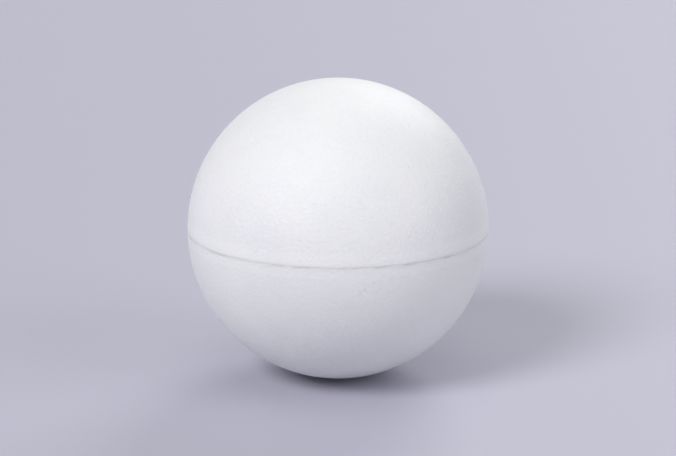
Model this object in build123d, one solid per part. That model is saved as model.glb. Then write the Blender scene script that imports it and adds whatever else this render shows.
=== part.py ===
from build123d import *

import os
from math import asin, degrees, sqrt

# Table tennis ball: two thin moulded half shells, cemented together around the middle.
#
# The origin is the ball's centre. +Z leaves through the middle of the upper half shell, so the seam lies in
# the XY plane. The upper half has a locating tongue inside its rim, which slips into the lower half. Cement
# fills the gap between the halves, the small V around the outside, and the corner below the tongue's end.
# Lengths are in millimetres. Every profile is drawn in the XZ plane and turned about Z.

# The ball
ball_diameter = 40.0
wall = 0.47  # with the tongue, this much plastic weighs 2.7 g

# The joint between the halves
film = 0.05  # thickness of the cement between the halves, at the rims and along the tongue
bevel = 0.10  # depth and height of the bevel around the outside of each rim; two of them make the V
tongue_thickness = 0.35
tongue_reach = 1.2  # how far the tongue goes past the seam, into the lower half
root_height = 1.2  # how far up the upper half the wall keeps the tongue's thickness inside it
root_fade = 1.2  # height over which that thickening then thins out to the plain wall
bead = 0.30  # leg of the triangle of cement squeezed out below the tongue's end

# Worked out from the above
outer_radius = ball_diameter / 2
inner_radius = outer_radius - wall
tongue_outer_radius = inner_radius - film
tongue_inner_radius = tongue_outer_radius - tongue_thickness
tongue_end_z = -tongue_reach
rim_z = film / 2  # how far each half's flat rim stands from the seam plane
bevel_z = rim_z + bevel  # where a bevel runs out into the outside of the ball
bevel_foot_radius = outer_radius - bevel  # where it meets the flat rim


def on_sphere(radius, z):
    """The point of a profile where a sphere about the origin is at height z."""
    return sqrt(radius**2 - z**2), z


def sphere_arc(radius, z_from, z_to):
    """The arc of a sphere about the origin, from one height to another."""
    start = degrees(asin(z_from / radius))
    end = degrees(asin(z_to / radius))
    return CenterArc((0, 0), radius, start, end - start)


def turned(*edges):
    """The solid that a closed profile makes when it is turned about Z."""
    return revolve(Plane.XZ * make_face(Wire(edges)), Axis.Z)


def upper_half_shell():
    """The half with the tongue: a hemisphere that thickens inward near the rim and runs on past it."""
    return turned(
        sphere_arc(outer_radius, outer_radius, bevel_z),
        Line(on_sphere(outer_radius, bevel_z), (bevel_foot_radius, rim_z)),
        Line((bevel_foot_radius, rim_z), on_sphere(tongue_outer_radius, rim_z)),
        sphere_arc(tongue_outer_radius, rim_z, tongue_end_z),
        Line(on_sphere(tongue_outer_radius, tongue_end_z), on_sphere(tongue_inner_radius, tongue_end_z)),
        sphere_arc(tongue_inner_radius, tongue_end_z, root_height),
        Line(on_sphere(tongue_inner_radius, root_height), on_sphere(inner_radius, root_height + root_fade)),
        sphere_arc(inner_radius, root_height + root_fade, inner_radius),
        Line((0, inner_radius), (0, outer_radius)),
    )


def lower_half_shell():
    """The half that takes the tongue: a hemisphere of even wall, its flat rim bevelled on the outside."""
    return turned(
        sphere_arc(outer_radius, -outer_radius, -bevel_z),
        Line(on_sphere(outer_radius, -bevel_z), (bevel_foot_radius, -rim_z)),
        Line((bevel_foot_radius, -rim_z), on_sphere(inner_radius, -rim_z)),
        sphere_arc(inner_radius, -rim_z, -inner_radius),
        Line((0, -inner_radius), (0, -outer_radius)),
    )


def seam_cement():
    """The ring of cement: the V filled flush with the ball, the film behind it, and the bead inside."""
    tongue_corner = on_sphere(tongue_outer_radius, tongue_end_z)
    bead_tip = (tongue_corner[0] - bead, tongue_end_z)
    bead_foot_z = tongue_end_z - bead
    return turned(
        sphere_arc(outer_radius, bevel_z, -bevel_z),
        Line(on_sphere(outer_radius, -bevel_z), (bevel_foot_radius, -rim_z)),
        Line((bevel_foot_radius, -rim_z), on_sphere(inner_radius, -rim_z)),
        sphere_arc(inner_radius, -rim_z, bead_foot_z),
        Line(on_sphere(inner_radius, bead_foot_z), bead_tip),
        Line(bead_tip, tongue_corner),
        sphere_arc(tongue_outer_radius, tongue_end_z, rim_z),
        Line(on_sphere(tongue_outer_radius, rim_z), (bevel_foot_radius, rim_z)),
        Line((bevel_foot_radius, rim_z), on_sphere(outer_radius, bevel_z)),
    )


nodes = {
    "upper_half_shell": upper_half_shell(),
    "lower_half_shell": lower_half_shell(),
    "seam_cement": seam_cement(),
}

os.makedirs("parts", exist_ok=True)
for name, solid in nodes.items():
    export_step(solid, f"parts/{name}.step")
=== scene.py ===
import math

import bpy
import numpy as np
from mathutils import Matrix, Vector


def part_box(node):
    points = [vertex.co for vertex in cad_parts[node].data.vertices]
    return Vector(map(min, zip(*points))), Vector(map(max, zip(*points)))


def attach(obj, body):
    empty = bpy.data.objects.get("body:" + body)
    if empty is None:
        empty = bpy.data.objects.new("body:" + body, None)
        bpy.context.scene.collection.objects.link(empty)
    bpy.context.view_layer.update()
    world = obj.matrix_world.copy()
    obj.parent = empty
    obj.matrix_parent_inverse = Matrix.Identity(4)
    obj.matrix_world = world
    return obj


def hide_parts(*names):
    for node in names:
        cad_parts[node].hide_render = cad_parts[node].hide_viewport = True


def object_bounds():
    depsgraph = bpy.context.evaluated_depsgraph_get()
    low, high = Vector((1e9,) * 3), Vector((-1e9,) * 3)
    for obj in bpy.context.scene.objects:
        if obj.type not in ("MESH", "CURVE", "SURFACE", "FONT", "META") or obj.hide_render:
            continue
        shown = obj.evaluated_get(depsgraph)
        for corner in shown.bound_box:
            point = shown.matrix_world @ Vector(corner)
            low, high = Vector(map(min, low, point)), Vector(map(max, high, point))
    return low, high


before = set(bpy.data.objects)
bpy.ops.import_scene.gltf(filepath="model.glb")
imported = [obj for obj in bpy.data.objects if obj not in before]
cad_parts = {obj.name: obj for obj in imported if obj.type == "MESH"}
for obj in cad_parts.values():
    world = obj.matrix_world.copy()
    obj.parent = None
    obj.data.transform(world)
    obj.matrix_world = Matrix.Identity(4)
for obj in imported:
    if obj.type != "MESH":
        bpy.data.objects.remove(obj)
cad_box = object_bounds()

# The looks of a table tennis ball: two thin half shells of matt white plastic with their tongue and socket
# joint, and the ring of cement between them. Each piece is a closed solid, drawn as a profile and carried
# round the ball's axis. Lengths are in metres, and sizes come from the frame.

MM = 0.001
TURN = 2 * math.pi


# ---------------------------------------------------------------------------------------------------------
# Sizes
# ---------------------------------------------------------------------------------------------------------

def distances_from_centre(node):
    """How near to the ball's centre, and how far from it, a CAD node's points are."""
    distances = [point.co.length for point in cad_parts[node].data.vertices]
    return min(distances), max(distances)


tongue_inner_radius, ball_radius = distances_from_centre("upper_half_shell")
inner_radius = distances_from_centre("lower_half_shell")[0]
tongue_end_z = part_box("upper_half_shell")[0].z
rim_z = -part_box("lower_half_shell")[1].z
bead_foot_z, bevel_z = (corner.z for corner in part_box("seam_cement"))

tongue_outer_radius = inner_radius - 2 * rim_z
bevel = bevel_z - rim_z
bead = tongue_end_z - bead_foot_z
root_z = -tongue_end_z  # the wall stays thick as far above the seam as the tongue goes below it
fade_z = 2 * root_z  # and is back to its plain thickness at twice that

# The worked edge of the seam. A real one isn't ruled: its width, depth and height wander a little.
EDGE_ROUND = 0.016 * MM  # how far the rounding of a shell's outer edge reaches to either side
SEAM_SINK = 0.012 * MM  # how deep the cement's surface lies below the ball's, at the middle of the line
SINK_CHANGE = 0.7  # share of that depth, more or less, round the ball
WIDTH_CHANGE = 0.22  # share of the bevel's height, more or less, round the ball
SEAM_WANDER = 0.03 * MM  # how far the line strays up and down
BEAD_PULL = 0.25  # share of the bead's leg by which the curve of its face is pulled into the corner

# How finely the meshes are divided. Near the seam, rings of quads follow the profile, and beyond CAP_Z a cap
# of even quads closes each half. The rings have as many points as there are quads along the cap's four sides.
CAP_Z = 2.8 * MM
CAP_STEPS = 96  # quads across a cap
RING_POINTS = 4 * CAP_STEPS
RING_AZIMUTHS = np.arange(RING_POINTS) * TURN / RING_POINTS
OUTSIDE_STEPS = 10  # from a cap to the seam's edge, on the outside
EDGE_STEPS = 4  # round a shell's outer edge
LINE_STEPS = 8  # across the cement's surface
TONGUE_STEPS = 6  # down the tongue's outside, and the same way in the cement and the lower half
TONGUE_END_STEPS = 3  # across the tongue's end
INSIDE_STEPS = 8  # up the tongue's inside, and down the lower half's inside to its cap
FADE_STEPS = 6  # up the slope where the thick wall thins out
BEAD_STEPS = 4  # round the bead's hollow
BEAD_TOP_STEPS = 2  # along the bead's top, under the tongue
SHARP_ANGLE = 50.0  # degrees between faces, past which a corner is sharp


# ---------------------------------------------------------------------------------------------------------
# Profiles. A profile point is (distance from the axis, height), each a number for every azimuth.
# ---------------------------------------------------------------------------------------------------------

def wobble(seed, slowest, fastest):
    """A smooth closed curve round the ball, from -1 to 1: sine waves with whole numbers of turns."""
    draw = np.random.default_rng(seed)
    turns = np.arange(slowest, fastest + 1)
    sizes = draw.uniform(0.3, 1.0, len(turns)) / np.sqrt(turns)
    starts = draw.uniform(0, TURN, len(turns))
    waves = sum(
        size * np.sin(turn * RING_AZIMUTHS + start)
        for size, turn, start in zip(sizes, turns, starts)
    )
    return waves / np.abs(waves).max()


seam_z = SEAM_WANDER * wobble(seed=3, slowest=2, fastest=9)
upper_edge_z = seam_z + bevel_z * (1 + WIDTH_CHANGE * wobble(seed=5, slowest=7, fastest=60))
lower_edge_z = seam_z - bevel_z * (1 + WIDTH_CHANGE * wobble(seed=7, slowest=7, fastest=60))
seam_sink = SEAM_SINK * (1 + SINK_CHANGE * wobble(seed=11, slowest=2, fastest=24))


def off_axis(radius, z):
    """The profile point at one distance from the axis and one height."""
    return np.array([radius + np.zeros(RING_POINTS), z + np.zeros(RING_POINTS)])


def on_sphere(radius, z):
    """The profile point of a sphere about the ball's centre at height z."""
    return off_axis(np.sqrt(radius**2 - z**2), z)


def arc(radius, z_from, z_to, steps):
    """Points along a sphere's arc, closer together towards its end, without the first."""
    shares = 1 - (1 - np.arange(1, steps + 1) / steps) ** 2
    return [on_sphere(radius, z_from + (z_to - z_from) * share) for share in shares]


def line(start, end, steps):
    """Points along a straight line, without the first."""
    return [start + (end - start) * step / steps for step in range(1, steps + 1)]


def rounded(before, corner, after, steps):
    """Points along a rounded corner, both ends included."""
    shares = np.arange(steps + 1) / steps
    return [(1 - s) ** 2 * before + 2 * s * (1 - s) * corner + s**2 * after for s in shares]


def shell_edge(edge_z, side):
    """A shell's outer edge, rounded onto the bevel. side is 1 above the seam and -1 below it."""
    corner = on_sphere(ball_radius, edge_z)
    foot = off_axis(ball_radius - bevel, side * rim_z)
    slope = foot - corner
    down_the_bevel = corner + slope * EDGE_ROUND / np.hypot(*slope)
    return rounded(on_sphere(ball_radius, edge_z + side * EDGE_ROUND), corner, down_the_bevel, EDGE_STEPS)


def upper_profile():
    """Down the outside, over the rim, down and round the tongue, and up the inside."""
    tongue_root = on_sphere(tongue_inner_radius, root_z)
    tongue_outer_corner = on_sphere(tongue_outer_radius, tongue_end_z)
    tongue_inner_corner = on_sphere(tongue_inner_radius, tongue_end_z)
    return [
        on_sphere(ball_radius, CAP_Z),
        *arc(ball_radius, CAP_Z, upper_edge_z + 2 * EDGE_ROUND, OUTSIDE_STEPS),
        *shell_edge(upper_edge_z, 1),
        off_axis(ball_radius - bevel, rim_z),
        on_sphere(tongue_outer_radius, rim_z),
        *arc(tongue_outer_radius, rim_z, tongue_end_z, TONGUE_STEPS),
        *line(tongue_outer_corner, tongue_inner_corner, TONGUE_END_STEPS),
        *arc(tongue_inner_radius, tongue_end_z, root_z, INSIDE_STEPS),
        *line(tongue_root, on_sphere(inner_radius, fade_z), FADE_STEPS),
        on_sphere(inner_radius, CAP_Z),
    ]


def lower_profile():
    """Up the outside, over the rim and down the inside."""
    return [
        on_sphere(ball_radius, -CAP_Z),
        *arc(ball_radius, -CAP_Z, lower_edge_z - 2 * EDGE_ROUND, OUTSIDE_STEPS),
        *shell_edge(lower_edge_z, -1),
        off_axis(ball_radius - bevel, -rim_z),
        on_sphere(inner_radius, -rim_z),
        *arc(inner_radius, -rim_z, -CAP_Z, INSIDE_STEPS),
    ]


def cement_profile():
    """Across the V's surface, in along the lower half, round the bead, and back out along the upper half."""
    top = shell_edge(upper_edge_z, 1)[-1]
    foot = shell_edge(lower_edge_z, -1)[-1]
    sunk_middle = on_sphere(ball_radius - 2 * seam_sink, seam_z)  # the surface passes half as deep
    tongue_corner = on_sphere(tongue_outer_radius, tongue_end_z)
    bead_tip = tongue_corner - off_axis(bead, 0)
    bead_foot = on_sphere(inner_radius, bead_foot_z)
    bead_hollow = (bead_tip + bead_foot) / 2 + off_axis(BEAD_PULL * bead, BEAD_PULL * bead)
    return [
        *rounded(top, sunk_middle, foot, LINE_STEPS),
        off_axis(ball_radius - bevel, -rim_z),
        on_sphere(inner_radius, -rim_z),
        *arc(inner_radius, -rim_z, bead_foot_z, TONGUE_STEPS),
        *rounded(bead_foot, bead_hollow, bead_tip, BEAD_STEPS)[1:],
        *line(bead_tip, tongue_corner, BEAD_TOP_STEPS),
        *arc(tongue_outer_radius, tongue_end_z, rim_z, TONGUE_STEPS),
        off_axis(ball_radius - bevel, rim_z),
    ]


# ---------------------------------------------------------------------------------------------------------
# Meshes
# ---------------------------------------------------------------------------------------------------------

def ring_points(profile_point):
    """A profile point carried round the ball's axis."""
    radius, height = profile_point
    return np.stack([radius * np.cos(RING_AZIMUTHS), radius * np.sin(RING_AZIMUTHS), height], axis=1)


def band(first, second):
    """The quads between two rings of point numbers."""
    return np.stack([first, second, np.roll(second, -1), np.roll(first, -1)], axis=1)


def cap_grid():
    """A square grid pressed into a disc, which has even quads and no pinch at the pole.

    Returns each point's share of the way out and its azimuth, the quads, and the edge's points in order.
    """
    ticks = np.linspace(-1, 1, CAP_STEPS + 1)
    across, along = np.meshgrid(ticks, ticks, indexing="ij")
    mostly_across = np.abs(across) > np.abs(along)
    out = np.where(mostly_across, across, along)
    lean = np.where(mostly_across, along, across) / np.where(out == 0, 1, out) * TURN / 8
    azimuth = np.where(mostly_across, lean, TURN / 4 - lean) + np.where(out < 0, TURN / 2, 0)
    azimuth = azimuth.ravel() % TURN
    share = np.abs(out).ravel()

    numbers = np.arange((CAP_STEPS + 1) ** 2).reshape(CAP_STEPS + 1, CAP_STEPS + 1)
    corners = [numbers[:-1, :-1], numbers[1:, :-1], numbers[1:, 1:], numbers[:-1, 1:]]
    quads = np.stack([corner.ravel() for corner in corners], axis=1)

    edge = np.flatnonzero(share == 1)
    return share, azimuth, quads, edge[np.argsort(azimuth[edge])]


def cap_points(edge_point, share, azimuth):
    """The grid's points on the part of a sphere between a pole and the ring of edge_point."""
    distance, height = (values[0] for values in edge_point)
    radius = math.hypot(distance, height)
    from_pole = share * math.atan2(distance, abs(height))
    return radius * np.stack(
        [
            np.sin(from_pole) * np.cos(azimuth),
            np.sin(from_pole) * np.sin(azimuth),
            np.cos(from_pole) * math.copysign(1, height),
        ],
        axis=1,
    )


def half_shell_mesh(profile):
    """A closed half shell: a cap outside, the profile's rings, and a cap inside."""
    share, azimuth, quads, edge = cap_grid()
    outside = cap_points(profile[0], share, azimuth)
    inside = cap_points(profile[-1], share, azimuth)
    between = [ring_points(point) for point in profile[1:-1]]
    points = np.concatenate([outside, *between, inside])

    first_between = len(outside)
    first_inside = first_between + RING_POINTS * len(between)
    rings = [
        edge,
        *(first_between + RING_POINTS * number + np.arange(RING_POINTS) for number in range(len(between))),
        first_inside + edge,
    ]
    bands = [band(ring, following) for ring, following in zip(rings, rings[1:])]
    faces = np.concatenate([quads, *bands, first_inside + quads[:, ::-1]])
    below_the_seam = profile[0][1][0] < 0
    return points, faces[:, ::-1] if below_the_seam else faces


def ring_mesh(profile):
    """A closed ring: the profile's last point joins on to its first."""
    points = np.concatenate([ring_points(point) for point in profile])
    rings = np.arange(len(points)).reshape(len(profile), -1)
    bands = [band(ring, following) for ring, following in zip(rings, np.roll(rings, -1, axis=0))]
    return points, np.concatenate(bands)


def smooth_object(name, points, faces, material):
    """A new smooth-shaded object with that mesh."""
    mesh = bpy.data.meshes.new(name)
    mesh.from_pydata(points.tolist(), [], faces)
    mesh.polygons.foreach_set("use_smooth", [True] * len(mesh.polygons))
    mesh.materials.append(material)
    new_object = bpy.data.objects.new(name, mesh)
    bpy.context.scene.collection.objects.link(new_object)
    return new_object


# ---------------------------------------------------------------------------------------------------------
# Materials
# ---------------------------------------------------------------------------------------------------------

PLASTIC_IOR = 1.53
GLOW_DEPTH = 0.7 * MM  # how far light spreads inside the plastic
GLOW_COLOUR = (1.0, 0.96, 0.9)  # share of that for red, green and blue
NOISE_ROUGHNESS = 0.55  # how strong each finer layer of a noise is, against the one before
BEND_WIDTH = 4.0  # the bends in a mark are this many of its lengths apart
CELL_BORDER = 0.15  # share of a cell over which a mark fades out at its border
TONGUE_GLIMPSE = 1.25  # the painted lightening over the tongue fades out this many times as deep as the tongue's end

# The shells' whites, and the greys of what lies on them
COOL_WHITE = (0.855, 0.86, 0.86, 1)
WARM_WHITE = (0.88, 0.88, 0.872, 1)
# painted light: the belt where the tongue lies behind the wall is painted lighter, for the light the doubled
# wall scatters back
DOUBLED_WALL_PAINTED_LIGHT = (0.91, 0.91, 0.90, 1)
PEAK_GREY = (0.62, 0.62, 0.62, 1)
HANDLING_GREY = (0.66, 0.66, 0.63, 1)
PIT_GREY = (0.45, 0.46, 0.48, 1)
SCUFF_GREY = (0.42, 0.43, 0.46, 1)
SCRATCH_GREY = (0.50, 0.50, 0.50, 1)
SHELL_RELIEF = 0.09 * MM  # height of the grain from the bottom of its noise to the top

CEMENT_CREAM = (0.80, 0.795, 0.765, 1)
DUST_GREY = (0.56, 0.56, 0.54, 1)
MOST_DUST = 0.6  # share of the cement's colour that dust hides where it is thickest
CEMENT_RELIEF = 0.006 * MM


class Nodes:
    """The node tree of one new material, and short ways to add to it. A value is a number or a socket."""

    def __init__(self, name):
        self.material = bpy.data.materials.new(name)
        self.material.use_nodes = True
        self.tree = self.material.node_tree
        self.shader = self.tree.nodes["Principled BSDF"]
        position = self.tree.nodes.new("ShaderNodeTexCoord").outputs["Object"]
        self.place = self.vector("SCALE", position, Scale=1 / MM)  # the place on the ball, in millimetres

    def feed(self, socket, value):
        """Links a socket to another one, or sets its number."""
        if isinstance(value, bpy.types.NodeSocket):
            self.tree.links.new(value, socket)
        else:
            socket.default_value = value

    def add(self, kind, inputs, **settings):
        """A new node of that kind. inputs holds a value for each socket that isn't left as it comes."""
        node = self.tree.nodes.new(kind)
        for name, value in settings.items():
            setattr(node, name, value)
        for name, value in inputs.items():
            self.feed(node.inputs[name], value)
        return node

    def maths(self, operation, first, second=0.0):
        return self.add("ShaderNodeMath", {0: first, 1: second}, operation=operation).outputs[0]

    def times(self, first, second):
        return self.maths("MULTIPLY", first, second)

    def less(self, value, strength, share):
        """value, less a share of strength."""
        return self.maths("SUBTRACT", value, self.times(strength, share))

    def vector(self, operation, first, second=(0, 0, 0), **inputs):
        node = self.add("ShaderNodeVectorMath", {0: first, 1: second, **inputs}, operation=operation)
        return node.outputs["Value" if operation in ("DOT_PRODUCT", "LENGTH") else "Vector"]

    def eased(self, value, low, high, at_low=0.0, at_high=1.0):
        """Moves smoothly from at_low to at_high as value goes from low to high, and stays there beyond."""
        inputs = {"Value": value, "From Min": low, "From Max": high, "To Min": at_low, "To Max": at_high}
        return self.add("ShaderNodeMapRange", inputs, interpolation_type="SMOOTHSTEP").outputs["Result"]

    def noise(self, size, detail, shift=0.0):
        """Soft noise about 0.5, whose blotches are about size millimetres wide."""
        place = self.vector("ADD", self.place, (shift, shift, shift))
        inputs = {"Vector": place, "Scale": 1 / size, "Detail": detail, "Roughness": NOISE_ROUGHNESS}
        return self.add("ShaderNodeTexNoise", inputs).outputs[0]

    def colour(self, share, first, second):
        """first where share is 0, second where it is 1."""
        node = self.add("ShaderNodeMix", {0: share}, data_type="RGBA")
        colours_in, colour_out = (6, 7), 2  # the Mix node's sockets for colours
        for number, value in zip(colours_in, (first, second)):
            self.feed(node.inputs[number], value)
        return node.outputs[colour_out]

    def cells(self, place, spacing, chosen):
        """The node of random cells about spacing wide, and 1 in a share of them, chosen, or 0 elsewhere."""
        cell = self.add("ShaderNodeTexVoronoi", {"Vector": place, "Scale": 1 / spacing})
        lottery = self.add("ShaderNodeTexWhiteNoise", {"Vector": cell.outputs["Position"]}).outputs["Value"]
        return cell, self.maths("LESS_THAN", lottery, chosen)

    def marks(self, spacing, length, width, chosen, shift):
        """Short arcs rubbed at random over the ball, one in each chosen cell, as a strength from 0 to 1."""
        bend_noise = {"Vector": self.place, "Scale": 1 / (BEND_WIDTH * length), "Detail": 0.0}
        bend = self.vector("SCALE", self.add("ShaderNodeTexNoise", bend_noise).outputs[1], Scale=length)
        place = self.vector("ADD", self.vector("ADD", self.place, bend), (shift, -shift, 2 * shift))
        cell, kept = self.cells(place, spacing, chosen)
        from_middle = self.vector("SUBTRACT", place, cell.outputs["Position"])
        random = self.vector("SUBTRACT", cell.outputs["Color"], (0.5, 0.5, 0.5))
        sideways = self.vector("NORMALIZE", self.vector("CROSS_PRODUCT", self.place, random))
        across = self.maths("ABSOLUTE", self.vector("DOT_PRODUCT", from_middle, sideways))
        along = self.vector("LENGTH", from_middle)
        in_width = self.eased(across, low=0.0, high=width, at_low=1.0, at_high=0.0)
        in_length = self.eased(along, low=length / 8, high=length / 2, at_low=1.0, at_high=0.0)
        border_inputs = {"Vector": place, "Scale": 1 / spacing}
        border = self.add("ShaderNodeTexVoronoi", border_inputs, feature="DISTANCE_TO_EDGE")
        inside_cell = self.eased(border.outputs["Distance"], low=0.0, high=CELL_BORDER)
        return self.times(self.times(self.times(in_width, in_length), inside_cell), kept)

    def pits(self, spacing, radius, chosen, shift):
        """Small round pits, one in each chosen cell, as a strength from 0 to 1."""
        place = self.vector("ADD", self.place, (shift, shift, -shift))
        cell, kept = self.cells(place, spacing, chosen)
        from_middle = self.vector("LENGTH", self.vector("SUBTRACT", place, cell.outputs["Position"]))
        return self.times(self.eased(from_middle, low=0.0, high=radius, at_low=1.0, at_high=0.0), kept)

    def finish(self, colour, roughness, height, relief, translucence):
        """Joins up the surface and gives it what plastic has all over. height is in units of relief."""
        bump = self.add("ShaderNodeBump", {"Height": height, "Distance": relief, "Strength": 1.0})
        self.feed(self.shader.inputs["Base Color"], colour)
        self.feed(self.shader.inputs["Roughness"], roughness)
        self.feed(self.shader.inputs["Normal"], bump.outputs["Normal"])
        self.shader.inputs["IOR"].default_value = PLASTIC_IOR
        self.shader.inputs["Subsurface Weight"].default_value = translucence
        self.shader.inputs["Subsurface Radius"].default_value = GLOW_COLOUR
        self.shader.inputs["Subsurface Scale"].default_value = GLOW_DEPTH
        return self.material


def painted_light_belt(nodes):
    """1 in the belt where the wall and the tongue lie one behind the other, fading to 0 beyond it: where the
    shell is painted lighter, as painted light.
    """
    height_on_ball = nodes.vector("DOT_PRODUCT", nodes.place, (0, 0, 1))
    below_fade = nodes.eased(height_on_ball, low=root_z / MM, high=fade_z / MM, at_low=1.0, at_high=0.0)
    tongue_glimpse_z = TONGUE_GLIMPSE * tongue_end_z
    above_tongue_end = nodes.eased(height_on_ball, low=tongue_glimpse_z / MM, high=tongue_end_z / MM)
    return nodes.times(below_fade, above_tongue_end)


def shell_material():
    """Matt white plastic, tumbled to a fine grain, clean but for the faint marks of handling and play."""
    nodes = Nodes("shell_plastic")
    grain = nodes.noise(size=0.42, detail=5.0)
    clouds = nodes.eased(nodes.noise(size=9.0, detail=3.0, shift=7.0), low=0.35, high=0.65)
    handling = nodes.eased(nodes.noise(size=7.0, detail=4.0, shift=53.0), low=0.52, high=0.72)
    peaks = nodes.eased(grain, low=0.35, high=0.65)
    rubbed_peaks = nodes.eased(grain, low=0.42, high=0.58)
    pits = nodes.pits(spacing=0.9, radius=0.16, chosen=0.30, shift=91.0)
    scuff_paths = nodes.marks(spacing=9.0, length=7.0, width=0.40, chosen=0.22, shift=17.0)
    scuffs = nodes.times(scuff_paths, rubbed_peaks)
    scratches = nodes.marks(spacing=5.0, length=4.0, width=0.10, chosen=0.25, shift=71.0)

    white = nodes.colour(clouds, COOL_WHITE, WARM_WHITE)
    for strength, share, colour in (
        # painted light: the doubled wall's belt is painted lighter
        (painted_light_belt(nodes), 0.50, DOUBLED_WALL_PAINTED_LIGHT),
        (peaks, 0.06, PEAK_GREY),
        (handling, 0.06, HANDLING_GREY),
        (pits, 0.22, PIT_GREY),
        (scuffs, 0.13, SCUFF_GREY),
        (scratches, 0.10, SCRATCH_GREY),
    ):
        white = nodes.colour(nodes.times(strength, share), white, colour)

    roughness = nodes.eased(grain, low=0.3, high=0.7, at_low=0.48, at_high=0.62)
    roughness = nodes.less(roughness, handling, share=0.10)
    roughness = nodes.less(roughness, scratches, share=0.12)

    height = nodes.less(grain, pits, share=0.30)
    height = nodes.less(height, scratches, share=0.15)
    return nodes.finish(white, roughness, height, SHELL_RELIEF, translucence=0.5)


def cement_material():
    """Cured cement, ground flush: a little yellower and smoother than the shells, and dusty in patches."""
    nodes = Nodes("seam_cement")
    patches = nodes.noise(size=3.0, detail=3.0, shift=11.0)
    grain = nodes.noise(size=0.15, detail=2.0, shift=43.0)
    dust = nodes.times(nodes.eased(patches, low=0.40, high=0.66), MOST_DUST)
    cement = nodes.colour(dust, CEMENT_CREAM, DUST_GREY)
    roughness = nodes.eased(patches, low=0.3, high=0.7, at_low=0.34, at_high=0.52)
    return nodes.finish(cement, roughness, grain, CEMENT_RELIEF, translucence=0.0)


# ---------------------------------------------------------------------------------------------------------
# The ball
# ---------------------------------------------------------------------------------------------------------

def make_ball():
    """Three pieces, each of which stands for a CAD node."""
    shell = shell_material()
    pieces = [
        ("upper_shell", "upper_half_shell", "shell_plastic", half_shell_mesh(upper_profile()), shell),
        ("lower_shell", "lower_half_shell", "shell_plastic", half_shell_mesh(lower_profile()), shell),
        ("cement_ring", "seam_cement", "seam_cement", ring_mesh(cement_profile()), cement_material()),
    ]
    for name, node, slot, (points, faces), material in pieces:
        piece = smooth_object(name, points, faces.tolist(), material)
        piece.data.set_sharp_from_angle(angle=math.radians(SHARP_ANGLE))
        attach(piece, "root")
        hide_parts(node)


# ---------------------------------------------------------------------------------------------------------
# The studio
# ---------------------------------------------------------------------------------------------------------

FLOOR_COLOUR = (0.48, 0.47, 0.555, 1)
FLOOR_ROUGHNESS = 0.6
FLOOR_RADII = [0.05, 0.2, 0.4]  # rings of the flat floor, out to where it curves up
FLOOR_COARSENESS = 8  # the floor's rings have this many times fewer points than the ball's
SWEEP_RADIUS = 1.2
SWEEP_TURN = 30.0  # degrees that it curves through, so that a view from near the floor meets no edge
SWEEP_STEPS = 24
SKY_COLOUR = (0.93, 0.94, 1.0, 1)
SKY_STRENGTH = 0.38
VIEW_ELEVATION = 15.0  # degrees down along the line of sight
LENS = 135  # millimetres
BALL_SHARE = 0.66  # of the picture's height
PICTURE_HEIGHT_TO_WIDTH = 456 / 676


def floor_material():
    """Plain, pale and matt."""
    material = bpy.data.materials.new("floor")
    material.use_nodes = True
    shader = material.node_tree.nodes["Principled BSDF"]
    shader.inputs["Base Color"].default_value = FLOOR_COLOUR
    shader.inputs["Roughness"].default_value = FLOOR_ROUGHNESS
    return material


def make_floor():
    """A flat round floor that sweeps up all the way round, so that no view meets an edge."""
    floor_z = cad_box[0].z
    angles = np.linspace(0, math.radians(SWEEP_TURN), SWEEP_STEPS)[1:]
    radii = [*FLOOR_RADII, *(FLOOR_RADII[-1] + SWEEP_RADIUS * np.sin(angles))]
    heights = [*np.zeros(len(FLOOR_RADII)), *(SWEEP_RADIUS * (1 - np.cos(angles)))]
    rings = [
        ring_points(off_axis(radius, floor_z + height))[::FLOOR_COARSENESS]
        for radius, height in zip(radii, heights)
    ]
    points = np.concatenate(rings)
    numbers = np.arange(len(points)).reshape(len(rings), -1)
    faces = [face.tolist() for inner, outer in zip(numbers, numbers[1:]) for face in band(inner, outer)]
    faces.append(numbers[0].tolist())
    floor = smooth_object("floor", points, faces, floor_material())


def around(azimuth, elevation, distance):
    """The point seen from the ball's centre in that direction: azimuth 0 is on the camera's side."""
    a = math.radians(azimuth)
    e = math.radians(elevation)
    return distance * Vector((math.sin(a) * math.cos(e), -math.cos(a) * math.cos(e), math.sin(e)))


def place_facing_ball(name, data, location):
    """A new camera or light there, pointed at the ball's centre."""
    new_object = bpy.data.objects.new(name, data)
    new_object.location = location
    new_object.rotation_euler = (-location).to_track_quat("-Z", "Y").to_euler()
    bpy.context.scene.collection.objects.link(new_object)
    return new_object


def soft_light(name, azimuth, elevation, spread, strength):
    """A broad light far away, spread degrees across, which lights the floor and the sweep evenly."""
    light = bpy.data.lights.new(name, "SUN")
    light.angle = math.radians(spread)
    light.energy = strength
    place_facing_ball(name, light, around(azimuth, elevation, 1))


def make_lights():
    """Four broad lights and a pale sky."""
    soft_light("key", azimuth=-42, elevation=40, spread=24, strength=1.8)
    soft_light("top", azimuth=20, elevation=84, spread=40, strength=0.3)
    soft_light("fill", azimuth=66, elevation=28, spread=40, strength=0.62)
    soft_light("back", azimuth=158, elevation=30, spread=28, strength=0.85)
    world = bpy.data.worlds.new("studio")
    world.use_nodes = True
    world.node_tree.nodes["Background"].inputs["Color"].default_value = SKY_COLOUR
    world.node_tree.nodes["Background"].inputs["Strength"].default_value = SKY_STRENGTH
    bpy.context.scene.world = world


def make_camera():
    """Looks down at the ball at the reference view's angle, from far enough for a calm perspective."""
    camera = bpy.data.cameras.new("camera")
    camera.lens = LENS
    half_height = math.atan(camera.sensor_width / 2 / camera.lens * PICTURE_HEIGHT_TO_WIDTH)
    distance = ball_radius / math.sin(math.atan(BALL_SHARE * math.tan(half_height)))
    bpy.context.scene.camera = place_facing_ball("camera", camera, around(0, VIEW_ELEVATION, distance))


make_ball()
make_floor()
make_lights()
make_camera()
bpy.context.scene.view_settings.view_transform = "Standard"
